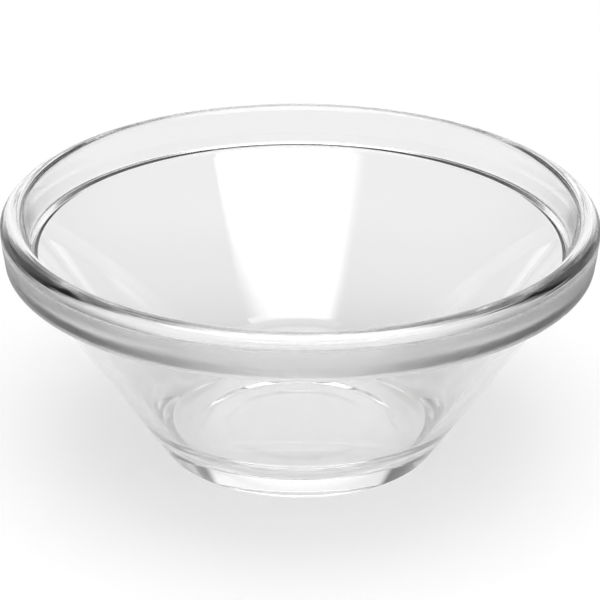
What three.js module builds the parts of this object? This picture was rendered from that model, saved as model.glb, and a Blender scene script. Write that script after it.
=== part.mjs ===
// A clear pressed-glass salad bowl: one solid of revolution with a conical wall, a banded rim that
// overhangs it, a narrow stacking ledge inside the rim, and a flat foot ring around a shallow recess.
// Millimetres, +Z up. The origin is on the table, at the centre of the foot.
import * as THREE from "three";

// Overall
const rimDiameter = 120; // across the widest line of the rim band
const bowlHeight = 50.5; // from the table to the top of the rim
const footDiameter = 56.4; // where the conical wall would meet the table

// Rim band
const bandHeight = 9.4; // from the shoulder under the band to the top of the rim
const bandDraft = 0.9; // how far the band draws in at its lower edge, on the radius
const shoulderWidth = 3.6; // flat underside of the band, which sits on the rim of the bowl below
const rimThickness = 4; // from the widest line to the inside of the band
const crownHeight = 2.4; // rounded top of the band, above its widest line
const lipRadius = 1.4; // inner edge of the rim
const bandEdgeRadius = 0.6; // lower edge of the band
const shoulderRootRadius = 0.5; // where the shoulder meets the wall

// Inside
const wallThickness = 3.1; // square to the conical wall
const ledgeDepth = 8; // from the top of the rim down to the stacking ledge
const ledgeWidth = 0.6;
const ledgeEdgeRadius = 0.6;
const ledgeRootRadius = 0.15;
const floorThickness = 5.9; // from the table to the flat floor inside
const floorFillet = 13; // between the floor and the wall

// Foot
const footEdgeRadius = 1.2;
const bearingWidth = 7.4; // foot ring that stands on the table
const recessDepth = 0.35;
const recessSlopeWidth = 2;
const recessEdgeRadius = 6;

// Facets
const aroundSteps = 72;
const crownSteps = 7;
const filletSteps = 8;
const edgeSteps = 3;

const rimRadius = rimDiameter / 2;
const footRadius = footDiameter / 2;
const shoulderZ = bowlHeight - bandHeight;
const bandEdge = rimRadius - bandDraft;
const shoulderRoot = bandEdge - shoulderWidth;
const rimInside = rimRadius - rimThickness;
const crownWidth = rimThickness - lipRadius;
const wallAngle = Math.atan((shoulderRoot - footRadius) / shoulderZ);
const ledgeZ = bowlHeight - ledgeDepth;
const recessRadius = footRadius - bearingWidth;

// Radius of the inside of the wall, parallel to the outside, at a height above the table.
function wallInside(z) {
  return footRadius + z * Math.tan(wallAngle) - wallThickness / Math.cos(wallAngle);
}

// One corner of the section, rounded by an arc that touches both of its sides.
function roundedCorner(before, corner, after, radius, steps) {
  const toBefore = before.clone().sub(corner).normalize();
  const toAfter = after.clone().sub(corner).normalize();
  const halfAngle = Math.acos(toBefore.dot(toAfter)) / 2;
  const inward = toBefore.clone().add(toAfter).normalize();
  const centre = corner.clone().addScaledVector(inward, radius / Math.sin(halfAngle));
  const reach = radius / Math.tan(halfAngle);
  const start = corner.clone().addScaledVector(toBefore, reach).sub(centre).angle();
  const end = corner.clone().addScaledVector(toAfter, reach).sub(centre).angle();
  const clockwise = toBefore.cross(toAfter) > 0;
  return new THREE.EllipseCurve(centre.x, centre.y, radius, radius, start, end, clockwise).getPoints(steps);
}

// The half section in (radius, height), from the centre of the floor over the rim to the centre of the base.
function bowlSection() {
  const corner = (r, z, radius = 0, steps = edgeSteps) => ({ at: new THREE.Vector2(r, z), radius, steps });
  const insideCorners = [
    corner(0, floorThickness),
    corner(wallInside(floorThickness), floorThickness, floorFillet, filletSteps),
    corner(wallInside(ledgeZ), ledgeZ, ledgeEdgeRadius),
    corner(wallInside(ledgeZ) + ledgeWidth, ledgeZ, ledgeRootRadius),
    corner(rimInside, bowlHeight, lipRadius, crownSteps),
    corner(rimRadius - crownWidth, bowlHeight),
  ];
  const outsideCorners = [
    corner(rimRadius, bowlHeight - crownHeight),
    corner(bandEdge, shoulderZ, bandEdgeRadius),
    corner(shoulderRoot, shoulderZ, shoulderRootRadius),
    corner(footRadius, 0, footEdgeRadius),
    corner(recessRadius, 0, recessEdgeRadius),
    corner(recessRadius - recessSlopeWidth, recessDepth, recessEdgeRadius),
    corner(0, recessDepth),
  ];
  const crown = new THREE.EllipseCurve(
    rimRadius - crownWidth,
    bowlHeight - crownHeight,
    crownWidth,
    crownHeight,
    Math.PI / 2,
    0,
    true,
  );
  const rounded = (corners) =>
    corners.flatMap((c, i) =>
      c.radius ? roundedCorner(corners[i - 1].at, c.at, corners[i + 1].at, c.radius, c.steps) : [c.at],
    );
  const crownBetweenEnds = crown.getPoints(crownSteps).slice(1, -1);
  return [...rounded(insideCorners), ...crownBetweenEnds, ...rounded(outsideCorners)];
}

function bowl() {
  const glass = new THREE.MeshStandardMaterial({
    color: 0xf2f5f4,
    roughness: 0.04,
    metalness: 0,
    transparent: true,
    opacity: 0.3,
  });
  const revolved = new THREE.LatheGeometry(bowlSection().reverse(), aroundSteps);
  const mesh = new THREE.Mesh(revolved.rotateX(Math.PI / 2), glass);
  mesh.name = "glass_bowl";
  return mesh;
}

const saladBowl = new THREE.Group();
saladBowl.add(bowl());

export default saladBowl;
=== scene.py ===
"""The looks of a clear pressed-glass salad bowl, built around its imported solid.

Metres, +Z up, the origin on the table at the centre of the foot; the camera stands on the -Y side.
The bowl's own sizes are in millimetres, as in the part's source.
"""

import math

import bpy
import numpy as np
from mathutils import Matrix, Vector


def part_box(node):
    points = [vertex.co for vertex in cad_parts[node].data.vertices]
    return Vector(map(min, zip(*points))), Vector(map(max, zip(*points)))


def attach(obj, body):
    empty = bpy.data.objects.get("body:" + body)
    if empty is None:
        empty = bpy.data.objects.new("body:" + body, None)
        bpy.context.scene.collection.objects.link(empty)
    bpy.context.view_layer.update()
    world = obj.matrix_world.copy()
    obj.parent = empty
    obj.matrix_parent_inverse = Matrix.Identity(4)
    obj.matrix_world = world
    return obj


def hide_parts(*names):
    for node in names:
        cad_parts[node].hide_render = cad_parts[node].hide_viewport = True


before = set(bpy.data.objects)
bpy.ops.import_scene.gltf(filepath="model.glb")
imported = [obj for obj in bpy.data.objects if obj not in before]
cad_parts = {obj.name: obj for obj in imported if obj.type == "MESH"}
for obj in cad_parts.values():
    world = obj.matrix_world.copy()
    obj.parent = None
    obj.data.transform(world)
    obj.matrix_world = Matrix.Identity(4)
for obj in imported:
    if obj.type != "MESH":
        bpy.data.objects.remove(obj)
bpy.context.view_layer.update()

MM = 0.001

# Rim band
rim_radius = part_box("glass_bowl")[1].x / MM
bowl_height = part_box("glass_bowl")[1].z / MM
band_height = 9.4  # from the shoulder under the band to the top of the rim
band_draft = 0.9  # how far the band draws in at its lower edge
shoulder_width = 3.6  # flat underside of the band
rim_thickness = 4.0  # from the widest line to the inside of the band
crown_height = 2.4  # rounded top of the band, above its widest line
lip_radius = 1.4  # inner edge of the rim
band_edge_radius = 0.6  # lower edge of the band
shoulder_root_radius = 0.5  # where the shoulder meets the wall

# Inside
wall_thickness = 3.1  # square to the wall
ledge_depth = 8.0  # from the top of the rim down to the ledge
ledge_width = 0.6
ledge_edge_radius = 0.6
ledge_root_radius = 0.15
floor_thickness = 5.9  # from the table to the floor of the bowl
floor_fillet = 13.0  # between that floor and the wall

# Foot, and a faint mould ring in the recess under it
foot_radius = 28.2  # where the wall would meet the table
foot_edge_radius = 1.2
bearing_width = 7.4  # foot ring that stands on the table
recess_depth = 0.35
recess_edge_radius = 6.0
recess_slope_width = 2.0
mould_ring_radius = 15.6
mould_ring_width = 1.6
mould_ring_height = 0.08
mould_ring_edge_radius = 4.0

# Mesh
around_steps = 360
arc_steps = 8
fillet_steps = 28
crown_steps = 24
run_step = 1.5  # between the points of a straight run
run_margin = 0.08  # from each end of a run to the point next to it
shortest_run = 2.25  # a shorter run gets no points

# Glass
glass_tint = 0.91
glass_absorption = 3.5  # per metre
glass_ior = 1.52
noise_detail = 3

# Dull outside of the band, as the mould left it, with fine streaks down it
band_frost = 0.38  # roughness
frost_overlap = 0.5  # how far the frost reaches above the widest line
frost_fade = 1.0  # height over which it sets in
frost_front = -10.0  # full on the camera's side of this line across the bowl
frost_back = 20.0  # and weakest beyond this one
frost_back_share = 0.15
shoulder_margin = 0.01  # below the shoulder, so that its own points count
streak_width = 0.9
streak_length = 14.0
streak_depth = 0.01

# Fine ripples that run around the crown
ripple_width = 0.3
ripple_length = 45.0
ripple_depth = 0.06
ripple_overlap = 1.0  # how far the ripples reach below the widest line
ripple_fade = 0.6  # height over which they set in
ripple_inset = 3.2  # how far in from the widest line they end
ripple_inset_fade = 0.8

# Floor, in metres: pale grey, with a painted pool of light under and behind the bowl, where it glows white
floor_half = 4.0
floor_drop = 0.00002  # below the foot, so that the two faces don't meet
floor_colour = 0.49
light_pool_strength = 0.53  # painted light that this glowing pool adds, as the camera and the glass see it
light_pool_centre = -0.008
light_pool_half_width = 0.066
light_pool_fade = 0.08  # width of its soft edges
light_pool_spread = 0.15  # how fast it widens to each side, beyond spread_start
spread_start = 0.1

# Light: soft panels around the bowl, in degrees. Azimuth 0 is the camera's side, and it grows to the right.
ambient = 0.08
soft_edge = 4
panels = [
    # In front, high up: the highlight on the far wall and the bright line of the crown
    dict(radiance=4.5, centre=8, half=36, low=40, high=49, soft_left=14, soft_right=1),
    # Above that, dimmer
    dict(radiance=1.6, centre=15, half=55, low=49, high=60, soft_left=10, soft_right=14),
    # Overhead
    dict(radiance=3.2, centre=0, half=200, low=64, high=100, soft_low=10),
    # At the right
    dict(radiance=0.6, centre=92, half=24, low=44, high=58, soft_left=12, soft_right=12, soft_low=8),
    # Behind
    dict(radiance=1.2, centre=180, half=37, low=-10, high=29),
    # All around, low: a pale backdrop
    dict(radiance=0.42, centre=0, half=200, low=-20, high=9, soft_high=6),
]
light_bounces = 32

# Camera, fitted to the photograph: the point at aim_height on the bowl's axis lies at aim_pixel
picture_size = 600
aim_pixel = (299.8, 320.05)
aim_height = 0.0258
view_elevation = math.radians(25.46)
view_distance = 0.5928
view_roll = 0.006
focal_pixels = 2912.5
sensor_width = 36
clip_start = 0.01

shoulder_z = bowl_height - band_height
band_edge = rim_radius - band_draft
shoulder_root = band_edge - shoulder_width
rim_inside = rim_radius - rim_thickness
crown_width = rim_thickness - lip_radius
crown_z = bowl_height - crown_height
wall_angle = math.atan((shoulder_root - foot_radius) / shoulder_z)
ledge_z = bowl_height - ledge_depth
recess_radius = foot_radius - bearing_width
mould_ring_z = recess_depth + mould_ring_height


def wall_inside(z):
    """Radius of the inside of the wall, parallel to the outside, at a height above the table."""
    return foot_radius + z * math.tan(wall_angle) - wall_thickness / math.cos(wall_angle)


def rounded_corner(before, corner, after, radius, steps):
    """Points of an arc that touches both sides of a corner of the section."""
    to_before = (before - corner).normalized()
    to_after = (after - corner).normalized()
    half_angle = to_before.angle(to_after) / 2
    centre = corner + (to_before + to_after).normalized() * radius / math.sin(half_angle)
    reach = radius / math.tan(half_angle)
    start = corner + to_before * reach - centre
    turn = start.angle_signed(corner + to_after * reach - centre)
    return [centre + Matrix.Rotation(-turn * i / steps, 2) @ start for i in range(steps + 1)]


def rounded(corners):
    """The outline through (r, z, radius, steps) corners, with each radius as an arc."""
    points = [Vector(c[:2]) for c in corners]
    outline = []
    for i, (_, _, radius, steps) in enumerate(corners):
        if radius:
            outline += rounded_corner(points[i - 1], points[i], points[i + 1], radius, steps)
        else:
            outline.append(points[i])
    return outline


def bowl_section():
    """The half section in (radius, height), from the middle of the floor over the rim to that of the base."""
    inside = rounded([
        (0, floor_thickness, 0, 0),
        (wall_inside(floor_thickness), floor_thickness, floor_fillet, fillet_steps),
        (wall_inside(ledge_z), ledge_z, ledge_edge_radius, arc_steps),
        (wall_inside(ledge_z) + ledge_width, ledge_z, ledge_root_radius, arc_steps),
        (rim_inside, bowl_height, lip_radius, crown_steps),
        (rim_radius - crown_width, bowl_height, 0, 0),
    ])
    crown = []
    for i in range(1, crown_steps):
        turn = math.pi / 2 * (1 - i / crown_steps)
        crown.append(Vector((
            rim_radius - crown_width + crown_width * math.cos(turn),
            crown_z + crown_height * math.sin(turn),
        )))
    outside = rounded([
        (rim_radius, crown_z, 0, 0),
        (band_edge, shoulder_z, band_edge_radius, arc_steps),
        (shoulder_root, shoulder_z, shoulder_root_radius, arc_steps),
        (foot_radius, 0, foot_edge_radius, arc_steps),
        (recess_radius, 0, recess_edge_radius, arc_steps),
        (recess_radius - recess_slope_width, recess_depth, recess_edge_radius, arc_steps),
        (mould_ring_radius, recess_depth, mould_ring_edge_radius, arc_steps),
        (mould_ring_radius - mould_ring_width, mould_ring_z, mould_ring_edge_radius, arc_steps),
        (0, mould_ring_z, 0, 0),
    ])
    return inside + crown + outside


def with_even_runs(outline):
    """Adds points along the straight runs, with one close to each end so that the shading stays flat between."""
    points = [outline[0]]
    for a, b in zip(outline, outline[1:]):
        length = (b - a).length
        if length > shortest_run:
            steps = max(2, round(length / run_step))
            margin = run_margin / length
            shares = [margin] + [i / steps for i in range(1, steps)] + [1 - margin]
            points += [a.lerp(b, share) for share in shares]
        points.append(b)
    return points


def revolved(name, section):
    """A closed mesh of the section turned about the axis. The first and last points lie on the axis."""
    ring_points = section[1:-1]
    vertices = [(0, 0, section[0].y * MM)]
    for point in ring_points:
        for k in range(around_steps):
            turn = 2 * math.pi * k / around_steps
            vertices.append((point.x * math.cos(turn) * MM, point.x * math.sin(turn) * MM, point.y * MM))
    vertices.append((0, 0, section[-1].y * MM))
    last = len(vertices) - 1
    faces = []
    for k in range(around_steps):
        next_k = (k + 1) % around_steps
        faces.append((0, 1 + k, 1 + next_k))
        for ring in range(len(ring_points) - 1):
            here = 1 + ring * around_steps
            there = here + around_steps
            faces.append((here + k, there + k, there + next_k, here + next_k))
        final = 1 + (len(ring_points) - 1) * around_steps
        faces.append((last, final + next_k, final + k))
    mesh = bpy.data.meshes.new(name)
    mesh.from_pydata(vertices, [], faces)
    mesh.shade_smooth()
    piece = bpy.data.objects.new(name, mesh)
    bpy.context.scene.collection.objects.link(piece)
    return piece


def set_attribute(mesh, name, values):
    """Stores one number for each point of the mesh."""
    stored = mesh.attributes.new(name, "FLOAT", "POINT")
    stored.data.foreach_set("value", values.astype(np.float32))


def set_run(mesh, section):
    """Marks how far each point lies along the section, in millimetres, for lines that follow the rim."""
    along = np.cumsum([0] + [(b - a).length for a, b in zip(section, section[1:])])
    set_attribute(mesh, "run", np.concatenate([along[:1], np.repeat(along[1:-1], around_steps), along[-1:]]))


def share_between(values, start, end):
    """How far each value is from start to end, from 0 to 1."""
    return np.clip((values - start) / (end - start), 0, 1)


def set_finish(mesh):
    """Marks how dull each point of the band's outside is, and how rippled each point of the crown."""
    place = np.empty(len(mesh.vertices) * 3)
    mesh.vertices.foreach_get("co", place)
    x, y, height = place.reshape(-1, 3).T / MM
    radius = np.hypot(x, y)
    frost_top = crown_z + frost_overlap
    below = share_between(height, frost_top, frost_top - frost_fade)
    facing = frost_back_share + (1 - frost_back_share) * share_between(y, frost_back, frost_front)
    on_band = (radius > band_edge - band_edge_radius) & (height > shoulder_z - shoulder_margin)
    set_attribute(mesh, "frost", np.where(on_band, below * facing, 0))
    ripple_foot = crown_z - ripple_overlap
    ripple_inside = rim_radius - ripple_inset
    above = share_between(height, ripple_foot, ripple_foot + ripple_fade)
    outward = share_between(radius, ripple_inside, ripple_inside + ripple_inset_fade)
    set_attribute(mesh, "crown", above * outward)


def link(tree, source, target):
    tree.links.new(source, target)


def math_node(tree, operation, *inputs):
    """One Math node; each input is a number or a socket."""
    node = tree.nodes.new("ShaderNodeMath")
    node.operation = operation
    for socket, value in zip(node.inputs, inputs):
        if isinstance(value, (int, float)):
            socket.default_value = value
        else:
            link(tree, value, socket)
    return node.outputs[0]


def product(tree, first, *others):
    """Numbers and sockets, multiplied."""
    for other in others:
        first = math_node(tree, "MULTIPLY", first, other)
    return first


def ramp(tree, value, start, end):
    """A smooth step from 0 to 1, as value goes from start to end."""
    node = tree.nodes.new("ShaderNodeMapRange")
    node.interpolation_type = "SMOOTHSTEP"
    link(tree, value, node.inputs["Value"])
    node.inputs["From Min"].default_value = start
    node.inputs["From Max"].default_value = end
    return node.outputs["Result"]


def attribute(tree, name):
    """What set_attribute has stored under a name."""
    node = tree.nodes.new("ShaderNodeAttribute")
    node.attribute_name = name
    return node.outputs["Fac"]


def coordinates(tree, kind):
    """X, Y and Z of a texture coordinate."""
    node = tree.nodes.new("ShaderNodeSeparateXYZ")
    link(tree, tree.nodes.new("ShaderNodeTexCoord").outputs[kind], node.inputs[0])
    return node.outputs


def new_material(name):
    """An empty material, its node tree and its output node."""
    material = bpy.data.materials.new(name)
    material.use_nodes = True
    tree = material.node_tree
    tree.nodes.clear()
    return material, tree, tree.nodes.new("ShaderNodeOutputMaterial")


def stretched_noise(tree, around, along):
    """Noise with one length around the bowl and another one along its section, in millimetres."""
    x, y, _ = coordinates(tree, "Object")
    spot = tree.nodes.new("ShaderNodeCombineXYZ")
    link(tree, math_node(tree, "DIVIDE", x, around * MM), spot.inputs["X"])
    link(tree, math_node(tree, "DIVIDE", y, around * MM), spot.inputs["Y"])
    link(tree, math_node(tree, "DIVIDE", attribute(tree, "run"), along), spot.inputs["Z"])
    texture = tree.nodes.new("ShaderNodeTexNoise")
    texture.inputs["Scale"].default_value = 1
    texture.inputs["Detail"].default_value = noise_detail
    link(tree, spot.outputs["Vector"], texture.inputs["Vector"])
    return texture.outputs["Fac"]


def glass_material():
    """Clear glass that darkens with depth, dull on the outside of the band and rippled on the crown."""
    material, tree, output = new_material("clear_glass")
    shader = tree.nodes.new("ShaderNodeBsdfPrincipled")
    shader.inputs["Base Color"].default_value = (glass_tint, glass_tint, glass_tint, 1)
    shader.inputs["Transmission Weight"].default_value = 1
    shader.inputs["IOR"].default_value = glass_ior
    frost = attribute(tree, "frost")
    link(tree, product(tree, frost, band_frost), shader.inputs["Roughness"])
    streaks = product(tree, stretched_noise(tree, streak_width, streak_length), frost, streak_depth)
    ripples = stretched_noise(tree, ripple_length, ripple_width)
    ripples = product(tree, ripples, attribute(tree, "crown"), ripple_depth)
    bump = tree.nodes.new("ShaderNodeBump")
    bump.inputs["Distance"].default_value = MM
    link(tree, math_node(tree, "ADD", streaks, ripples), bump.inputs["Height"])
    link(tree, bump.outputs["Normal"], shader.inputs["Normal"])
    link(tree, shader.outputs["BSDF"], output.inputs["Surface"])
    depth = tree.nodes.new("ShaderNodeVolumeAbsorption")
    depth.inputs["Color"].default_value = (0, 0, 0, 1)
    depth.inputs["Density"].default_value = glass_absorption
    link(tree, depth.outputs["Volume"], output.inputs["Volume"])
    return material


def floor_material():
    """A pale floor that keeps the shadow. The camera, reflections and the glass see it white in a painted pool
    of light, a glow under and behind the bowl.
    """
    material, tree, output = new_material("pale_floor")
    shader = tree.nodes.new("ShaderNodeBsdfDiffuse")
    shader.inputs["Color"].default_value = (floor_colour, floor_colour, floor_colour, 1)
    lift = tree.nodes.new("ShaderNodeEmission")
    path = tree.nodes.new("ShaderNodeLightPath")
    seen = math_node(tree, "MAXIMUM", path.outputs["Is Camera Ray"], path.outputs["Is Glossy Ray"])
    seen = math_node(tree, "MAXIMUM", seen, path.outputs["Is Transmission Ray"])
    x, y, _ = coordinates(tree, "Object")
    beyond = math_node(tree, "MAXIMUM", math_node(tree, "SUBTRACT", y, spread_start), 0.0)
    aside = math_node(tree, "ABSOLUTE", math_node(tree, "SUBTRACT", x, light_pool_centre))
    aside = math_node(tree, "SUBTRACT", aside, product(tree, beyond, light_pool_spread))
    # painted pool of light: the floor glows white here, under and behind the bowl, and fades to plain grey
    # beyond
    in_light_pool = ramp(tree, aside, light_pool_half_width + light_pool_fade, light_pool_half_width)
    link(tree, product(tree, seen, in_light_pool, light_pool_strength), lift.inputs["Strength"])
    both = tree.nodes.new("ShaderNodeAddShader")
    link(tree, shader.outputs[0], both.inputs[0])
    link(tree, lift.outputs[0], both.inputs[1])
    link(tree, both.outputs[0], output.inputs["Surface"])
    return material


def studio():
    """The world: the panels and a little light from everywhere."""
    world = bpy.data.worlds.new("studio")
    bpy.context.scene.world = world
    world.use_nodes = True
    tree = world.node_tree
    background = tree.nodes["Background"]
    background.inputs["Color"].default_value = (1, 1, 1, 1)
    x, y, z = coordinates(tree, "Generated")
    azimuth = math_node(tree, "DEGREES", math_node(tree, "ARCTAN2", x, product(tree, y, -1)))
    elevation = math_node(tree, "DEGREES", math_node(tree, "ARCSINE", z))

    def panel(
        radiance, centre, half, low, high,
        soft_left=soft_edge, soft_right=soft_edge, soft_low=soft_edge, soft_high=soft_edge,
    ):
        off_centre = math_node(tree, "WRAP", math_node(tree, "SUBTRACT", azimuth, centre), 180, -180)
        return product(
            tree,
            ramp(tree, off_centre, -half - soft_left / 2, -half + soft_left / 2),
            ramp(tree, off_centre, half + soft_right / 2, half - soft_right / 2),
            ramp(tree, elevation, low - soft_low / 2, low + soft_low / 2),
            ramp(tree, elevation, high + soft_high / 2, high - soft_high / 2),
            radiance,
        )

    total = ambient
    for values in panels:
        total = math_node(tree, "ADD", total, panel(**values))
    link(tree, total, background.inputs["Strength"])


def camera():
    """The photograph's view."""
    data = bpy.data.cameras.new("camera")
    data.sensor_width = sensor_width
    data.lens = focal_pixels * sensor_width / picture_size
    data.clip_start = clip_start
    item = bpy.data.objects.new("camera", data)
    bpy.context.scene.collection.objects.link(item)
    place = (
        0,
        -view_distance * math.cos(view_elevation),
        aim_height + view_distance * math.sin(view_elevation),
    )
    pitch = view_elevation - math.atan((aim_pixel[1] - picture_size / 2) / focal_pixels)
    yaw = math.atan((aim_pixel[0] - picture_size / 2) / focal_pixels)
    item.matrix_world = (
        Matrix.Translation(place)
        @ Matrix.Rotation(yaw, 4, "Z")
        @ Matrix.Rotation(math.pi / 2 - pitch, 4, "X")
        @ Matrix.Rotation(view_roll, 4, "Z")
    )
    bpy.context.scene.camera = item


def floor():
    """The floor that the bowl stands on."""
    near, far = -floor_half, floor_half
    mesh = bpy.data.meshes.new("floor")
    mesh.from_pydata([(near, near, 0), (far, near, 0), (far, far, 0), (near, far, 0)], [], [(0, 1, 2, 3)])
    mesh.materials.append(floor_material())
    item = bpy.data.objects.new("floor", mesh)
    item.location.z = -floor_drop
    bpy.context.scene.collection.objects.link(item)


section = with_even_runs(bowl_section())
bowl = revolved("bowl", section)
set_run(bowl.data, section)
set_finish(bowl.data)
bowl.data.materials.append(glass_material())
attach(bowl, "root")
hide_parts("glass_bowl")
floor()
studio()
camera()

scene = bpy.context.scene
scene.view_settings.view_transform = "Standard"
scene.cycles.max_bounces = light_bounces
scene.cycles.transmission_bounces = light_bounces
scene.cycles.glossy_bounces = light_bounces
